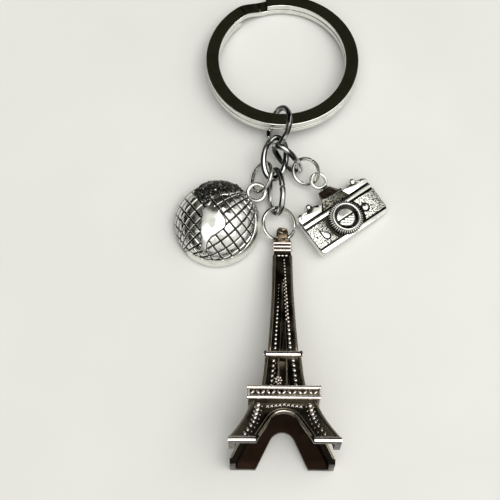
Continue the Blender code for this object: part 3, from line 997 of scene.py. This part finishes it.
def camera_plates():
    """The polished top plate on both sides of the hump, two long bars, and the lip on the hump."""
    part = Builder()
    for outline in (
            [(-8.05, 3.55), (-3.15, 3.55)] + LEFT_SHOULDER,
            [(3.6, 3.55), (8.6, 3.55)] + RIGHT_SHOULDER,
            [(-8.05, 2.38), (8.5, 2.38), (8.5, 3.16), (-8.05, 3.16)],
            [(-7.45, -3.58), (7.55, -3.58), (8.2, -3.22), (8.4, -2.8), (-8.0, -2.8), (-7.95, -3.2)]):
        slab(part, outline, PLATE - 0.6, PLATE, 1.0, 0.10)
    lip = [(-1.85, 4.95), (2.72, 4.95), (2.55, 5.38), (-1.7, 5.38)]
    slab(part, lip, PLATE - 0.5, PLATE + 0.98, 1.0, 0.08)
    return [part.done("camera_bright_plates", SILVER, 35)]


def camera_hump():
    """The prism hump: a stippled front, and behind its lip a plain slope in dark brown, a painted dark
    reflection.
    """
    sides = (-1.0, -0.55, 0.0, 0.55, 1.0)
    rows = []
    for y, half, height, centre in (
            (3.5, 3.2, 0.10, 0.27), (4.2, 2.85, 0.45, 0.42), (5.05, 2.25, 0.80, 0.45),
            (5.3, 2.1, 0.82, 0.45), (6.2, 1.75, 0.42, 0.25), (7.05, 1.35, 0.02, 0.15)):
        top = [Vector((centre + half * side, y, PLATE + height - (0.5 if abs(side) == 1.0 else 0.0)))
               for side in sides]
        rows.append(top + [Vector((centre + half, y, PLATE - 1.0)), Vector((centre - half, y, PLATE - 1.0))])
    front = Builder()
    front.tube(rows[:4], 0.35)
    slope = Builder()
    slope.tube(rows[3:], 1.0)
    return [front.done("camera_hump_front", MOTTLED, 50), slope.done("camera_hump_slope", SLOPE_DARK_REFLECTION, 50)]


def camera_panels():
    """The pebbled panels on both sides of the lens."""
    part = Builder()
    for outline in ([(-8.05, -2.42), (-3.5, -2.42), (-4.1, -1.0), (-4.1, 1.0), (-3.6, 1.95), (-8.05, 1.95)],
                    [(3.5, -2.42), (8.55, -2.42), (8.55, 1.95), (3.5, 1.95), (4.0, 1.0), (4.0, -1.0)]):
        slab(part, outline, PLATE - 0.6, PLATE - 0.02, 1.0, 0.10)
    return [part.done("camera_leatherette", LEATHERETTE, 35)]


def camera_marks():
    """A drop-shaped lever and a round button on the panels, each in a dark moat."""
    lean = radians(24)
    drop = []
    for step in range(31, -1, -1):
        turn = 2 * pi * step / 32
        x = 0.78 * sin(turn) * sin(turn / 2) ** 1.4
        y = 1.05 * cos(turn)
        drop.append((-5.45 + x * cos(lean) - y * sin(lean), -0.50 + x * sin(lean) + y * cos(lean)))
    marks = Builder()
    slab(marks, drop, PLATE - 0.4, PLATE + 0.24, 1.0, 0.08)
    slab(marks, circle(4.75, -0.35, 0.60), PLATE - 0.4, PLATE + 0.25, 1.0, 0.12)
    moats = Builder()
    torus(moats, (4.75, -0.35, PLATE - 0.02), 0.80, 0.36, 0.0, 32, 8, 0.4)
    grown = [((x + 5.45) * 1.45 - 5.45, (y + 0.55) * 1.28 - 0.55) for x, y in drop]
    slab(moats, grown, PLATE - 0.5, PLATE + 0.03, 0.0, 0.05)
    return [marks.done("camera_raised_marks", SILVER, 50), moats.done("camera_dark_moats", SILVER, 50)]


def lens_grip():
    """The knurled ring round the lens; share says how deep the notches are at each level."""
    top = PLATE
    stations = GRIP_TEETH * 8
    clean = [1.0 - (0.5 - 0.5 * cos(2 * pi * step / 8)) ** 0.7 for step in range(stations)]
    part = Builder()
    rows = []
    for height, radius, share in ((top - 0.4, 3.42, 1.0), (top + 0.05, 3.60, 1.0), (top + 0.42, 3.56, 1.0),
                                  (top + 0.60, 3.34, 1.0), (top + 0.66, 3.05, 0.7), (top + 0.60, 2.82, 0.0),
                                  (top + 0.20, 2.70, 0.0)):
        ring = []
        for turn in turns(stations):
            notch = share * (0.5 - 0.5 * cos(turn * GRIP_TEETH))
            ring.append(((radius - 0.30 * notch) * cos(turn), (radius - 0.30 * notch) * sin(turn),
                         height - 0.22 * notch))
        rows.append(part.ring(ring, clean))
    part.skin(rows)
    return [part.done("camera_lens_grip", SILVER, 60)]


def lens_bezel():
    """The smooth bright rim of the lens, and the dark barrel inside it."""
    top = PLATE
    outside = ((2.84, top + 0.45), (2.82, top + 1.02), (2.75, top + 1.15), (2.62, top + 1.20),
               (2.50, top + 1.14), (2.42, top + 1.00))
    barrel = ((2.42, top + 1.00), (2.32, top + 0.80), (1.90, top + 0.60), (1.84, top + 0.48))
    part = Builder()
    for path, value in ((outside, 1.0), (barrel, 0.06)):
        rows = [part.ring([(r * cos(turn), r * sin(turn), h) for turn in turns(96)], value)
                for r, h in path]
        part.skin(rows, False)
    return [part.done("camera_lens_bezel", SILVER, 60)]


def lens_disc():
    """The cast lens face: a square grid bent into a disc, with a dark bar across and ribs below it."""
    count = 34
    part = Builder()
    grid = []
    for row in range(count + 1):
        line = []
        clean = []
        for column in range(count + 1):
            a = -1 + 2 * column / count
            b = -1 + 2 * row / count
            x = a * sqrt(1 - b * b / 2) * DISC_RADIUS
            y = b * sqrt(1 - a * a / 2) * DISC_RADIUS
            cut = 1 - smooth_step((abs(y - 0.05) - 0.06) / 0.12)
            ribs = 0.03 * sin(x * 7.0 + y * 2.0) * sin(y * 8.0) if y < 0 else 0.0
            bulge = 0.10 * (1 - (x * x + y * y) / 3.7)
            line.append((x, y, PLATE + 0.52 + bulge + ribs - 0.10 * cut))
            edge = smooth_step((1.82 - hypot(x, y)) / 0.16)
            clean.append(max(0.0, (1.0 if y > 0 else 0.72 + 10 * ribs) * edge - cut))
        grid.append(part.ring(line, clean))
    for lower, upper in zip(grid, grid[1:]):
        for column in range(count):
            part.faces.append((lower[column], lower[column + 1], upper[column + 1], upper[column]))
    return [part.done("camera_lens_disc", SILVER, 70)]


def camera_knobs():
    """Knobs on the shoulders, and the curved lever at the left."""
    part = Builder()
    for x, y, radius, height in ((5.85, 5.35, 0.46, 0.25), (7.55, 4.30, 0.36, 0.22),
                                 (-4.85, 5.75, 0.34, 0.20)):
        slab(part, circle(x, y, radius), PLATE - 0.5, PLATE + height, 1.0, 0.12)
    lever = [Vector((x, y, PLATE)) for x, y in ((-7.6, 4.2), (-7.2, 4.9), (-6.6, 5.1), (-5.9, 5.0))]
    part.strip(lever, [UP] * 4, 0.34, 0.22, 1.0)
    return [part.done("camera_knobs", SILVER, 50)]


def camera_eye():
    """The eye of round wire on the hump, and its neck."""
    part = Builder()
    torus(part, (*CAMERA_EYE, PLATE / 2), 1.5, 0.74, 1.0)
    neck = [(-0.65, 6.2), (1.6, 6.2), (1.15, 7.75), (-0.2, 7.75)]
    slab(part, neck, PLATE / 2 - 0.37, PLATE / 2 + 0.37, 0.5, 0.1)
    return [part.done("camera_eye", SILVER, 60)]


def camera_charm():
    """Seats the camera by its flat back, which the record states as a resting face."""
    plate = camera_body()
    pieces = [plate] + camera_plates() + camera_hump() + camera_panels() + camera_marks()
    pieces += lens_grip() + lens_bezel() + lens_disc() + camera_knobs() + camera_eye()
    back = [item for item in frame["record"]["mounts"] if item["name"] == "camera_back"][0]
    place = Matrix.Translation(Vector(back["pos_m"])) @ frame_of(-35.2, 4.5, -7.7)
    for item in pieces:
        item.data.transform(place)
        item.data.update()
        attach(item, "camera_charm")
    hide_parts("camera_charm")


# ---------------- room

def table_top(middle, height):
    """A plain pale table, a hair below the object."""
    half = 1.2
    mesh = bpy.data.meshes.new("table_top")
    mesh.from_pydata([(-half, -half, 0), (half, -half, 0), (half, half, 0), (-half, half, 0)], [],
                     [(0, 1, 2, 3)])
    table = add_object("table_top", mesh)
    table.location = (middle.x, middle.y, height - 0.02 * MM)
    paper, nodes, shader = principled("table_paper")
    shader.inputs["Roughness"].default_value = 0.75
    clouds, _ = noise_at(nodes, 35.0, 4.0)
    ramp = two_colours(nodes, clouds, 0.3, (0.76, 0.755, 0.735), 0.7, (0.80, 0.795, 0.775))
    nodes.join(ramp.outputs["Color"], shader.inputs["Base Color"])
    mesh.materials.append(paper)


def lamps(middle):
    """Two soft square lamps, aimed at the object."""
    for name, place, size, power, colour in (
            ("key_light", (0.16, -0.03, 0.55), 0.46, KEY_POWER, (1.0, 0.99, 0.96)),
            ("fill_light", (-0.26, -0.22, 0.50), 0.30, FILL_POWER, (0.98, 0.99, 1.0))):
        lamp = bpy.data.lights.new(name, "AREA")
        lamp.size = size
        lamp.energy = power
        lamp.color = colour
        item = add_object(name, lamp)
        item.location = middle + Vector(place)
        item.rotation_euler = (middle - item.location).to_track_quat("-Z", "Y").to_euler()


def grey_ramp(nodes, stops):
    """A ramp of greys, warm where it is darkest."""
    node = nodes.add("ShaderNodeValToRGB")
    while len(node.color_ramp.elements) < len(stops):
        node.color_ramp.elements.new(0.5)
    for element, (place, grey) in zip(node.color_ramp.elements, stops):
        warm = 0.985 if grey > 0.05 else 0.6
        element.position = place
        element.color = (grey, grey, grey * warm, 1.0)
    return node


def studio_world():
    """A room that is bright to the right and overhead, and dark to the left and at the horizon.

    Two dark patches stand where the key ring's flat and its jog reflect the room to the camera.
    """
    world = bpy.data.worlds.new("studio")
    bpy.context.scene.world = world
    world.use_nodes = True
    nodes = Nodes(world.node_tree)
    place = nodes.add("ShaderNodeTexCoord")
    product = None
    for aim, lowest, stops in (
            ((0.0, 0.64, 0.77), 0.0, ((0.885, 1.0), (0.93, 0.020))),
            ((0.35, 0.88, 0.32), 0.0, ((0.925, 1.0), (0.965, 0.02))),
            ((0.85, -0.15, 0.32), -1.0, ((0.18, 0.03), (0.34, 0.24), (0.50, 1.0))),
            ((0.0, 0.0, 1.0), 0.0, ((0.0, 0.10), (0.16, 0.30), (0.40, 1.0)))):
        dot = nodes.add("ShaderNodeVectorMath", {1: Vector(aim).normalized()}, operation="DOT_PRODUCT")
        nodes.join(place.outputs["Generated"], dot.inputs[0])
        shift = nodes.add("ShaderNodeMapRange", {"From Min": lowest, "From Max": 1.0})
        nodes.join(dot.outputs["Value"], shift.inputs["Value"])
        ramp = grey_ramp(nodes, stops)
        nodes.join(shift.outputs["Result"], ramp.inputs["Fac"])
        layer = ramp.outputs["Color"]
        if product is None:
            product = layer
            continue
        both = nodes.add("ShaderNodeMix", {0: 1.0}, data_type="RGBA", blend_type="MULTIPLY")
        nodes.join(product, both.inputs[6])
        nodes.join(layer, both.inputs[7])
        product = both.outputs[2]
    background = world.node_tree.nodes["Background"]
    nodes.join(product, background.inputs["Color"])
    background.inputs["Strength"].default_value = ROOM_STRENGTH


def set_camera():
    ring = [joint for joint in frame["joints"] if joint["child"] == "ring_link"][0]
    centre = Vector(ring["pos_m"])
    centre.z = 0.0
    data = bpy.data.cameras.new("photo_camera")
    data.lens = LENS
    data.sensor_width = SENSOR
    data.dof.use_dof = False
    item = add_object("photo_camera", data)
    item.location = centre + EYE_FROM_RING
    item.rotation_euler = (radians(90 - LOOK_DOWN), 0, 0)
    bpy.context.scene.camera = item


def build():
    key_ring()
    wire("ring_link", (2.75, -6.3, 54.8), 4.05, 3.5, LINK_WIRE, 250, BUTT_GAP)
    wire("branch_link", (9.0, 5.4, -21.9), 4.2, 2.35, LINK_WIRE, 300, BUTT_GAP)
    wire("tower_link", (-2.5, 12.4, 57.7), 4.3, 2.3, LINK_WIRE, 80, BUTT_GAP)
    wire("camera_link", (-53.7, 50.6, -97.7), 3.95, 2.3, LINK_WIRE, 270, BUTT_GAP)
    wire("tower_jump_ring", (0.0, 6.3, -16.5), 3.25, 3.22, JUMP_WIRE, 105, OPEN_GAP)
    wire("camera_jump_ring", (-58.5, 2.2, 42.7), 2.62, 2.62, JUMP_WIRE, 90, BUTT_GAP)
    wire("globe_jump_ring", (28.2, 25.4, 47.1), 3.0, 3.0, JUMP_WIRE, 270, BUTT_GAP)
    tower()
    globe()
    camera_charm()
    low, high = CAD_BOX
    middle = (Vector(low) + Vector(high)) / 2
    table_top(middle, Vector(low).z)
    studio_world()
    lamps(middle)
    set_camera()
    bpy.context.scene.view_settings.view_transform = "Standard"


build()
